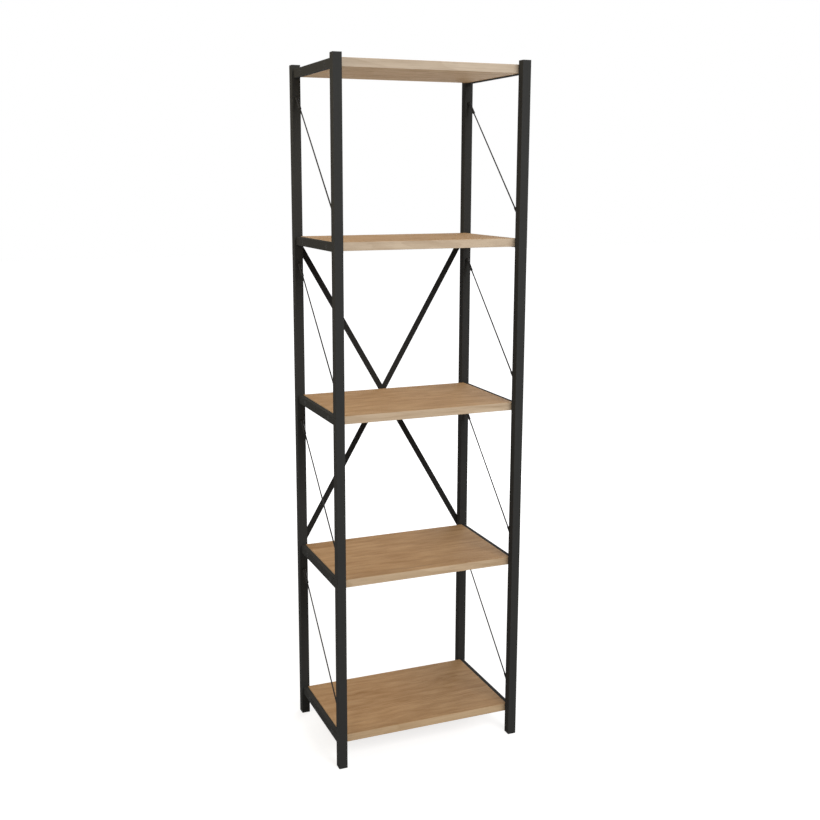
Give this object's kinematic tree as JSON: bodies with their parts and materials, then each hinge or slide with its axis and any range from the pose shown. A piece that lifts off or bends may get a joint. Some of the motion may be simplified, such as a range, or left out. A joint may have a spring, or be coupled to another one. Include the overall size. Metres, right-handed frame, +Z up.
{
  "type": "open bookcase",
  "caption": "Tall open bookcase: oak shelves screwed between two welded frames of square black steel tube, with slanted tie rods at the sides and crossed flat bars at the back.",
  "frame": {"origin": "on the floor, in the middle of the box that holds the whole bookcase", "axes": "+Z up, +X to the right seen from the front, +Y to the back; the front faces -Y"},
  "size_m": [0.56, 0.3902, 1.95],
  "materials": {
    "black_steel": "satin black powder coat",
    "tie_steel": "satin black paint",
    "oak": "matt oiled oak, grain along the width",
    "black_plastic": "fine matt texture",
    "black_fastener": "black oxide",
    "zinc_steel": "bright zinc"
  },
  "bodies": {
    "root": {"brace_bolts": "black_fastener", "brace_centre_bolt": "black_fastener", "brace_centre_nut": "black_fastener", "brace_rivet_nuts": "zinc_steel", "brace_spacers": "black_fastener", "foot_plug_front_left": "black_plastic", "foot_plug_front_right": "black_plastic", "foot_plug_rear_left": "black_plastic", "foot_plug_rear_right": "black_plastic", "post_front_left": "black_steel", "post_front_right": "black_steel", "post_rear_left": "black_steel", "post_rear_right": "black_steel", "rear_brace_falling": "black_steel", "rear_brace_rising": "black_steel", "shelf_1": "oak", "shelf_2": "oak", "shelf_3": "oak", "shelf_4": "oak", "shelf_5": "oak", "shelf_inserts": "zinc_steel", "shelf_screws": "black_fastener", "side_rail_left_1": "black_steel", "side_rail_left_2": "black_steel", "side_rail_left_3": "black_steel", "side_rail_left_4": "black_steel", "side_rail_left_5": "black_steel", "side_rail_right_1": "black_steel", "side_rail_right_2": "black_steel", "side_rail_right_3": "black_steel", "side_rail_right_4": "black_steel", "side_rail_right_5": "black_steel", "tie_ball_studs": "black_fastener", "tie_end_ferrules": "black_fastener", "tie_rivet_nuts": "black_fastener", "tie_rod_left_1": "tie_steel", "tie_rod_left_2": "tie_steel", "tie_rod_left_3": "tie_steel", "tie_rod_left_4": "tie_steel", "tie_rod_right_1": "tie_steel", "tie_rod_right_2": "tie_steel", "tie_rod_right_3": "tie_steel", "tie_rod_right_4": "tie_steel", "tie_tension_sleeves": "black_fastener", "top_cap_front_left": "black_plastic", "top_cap_front_right": "black_plastic", "top_cap_rear_left": "black_plastic", "top_cap_rear_right": "black_plastic"}
  },
  "joints": []
}
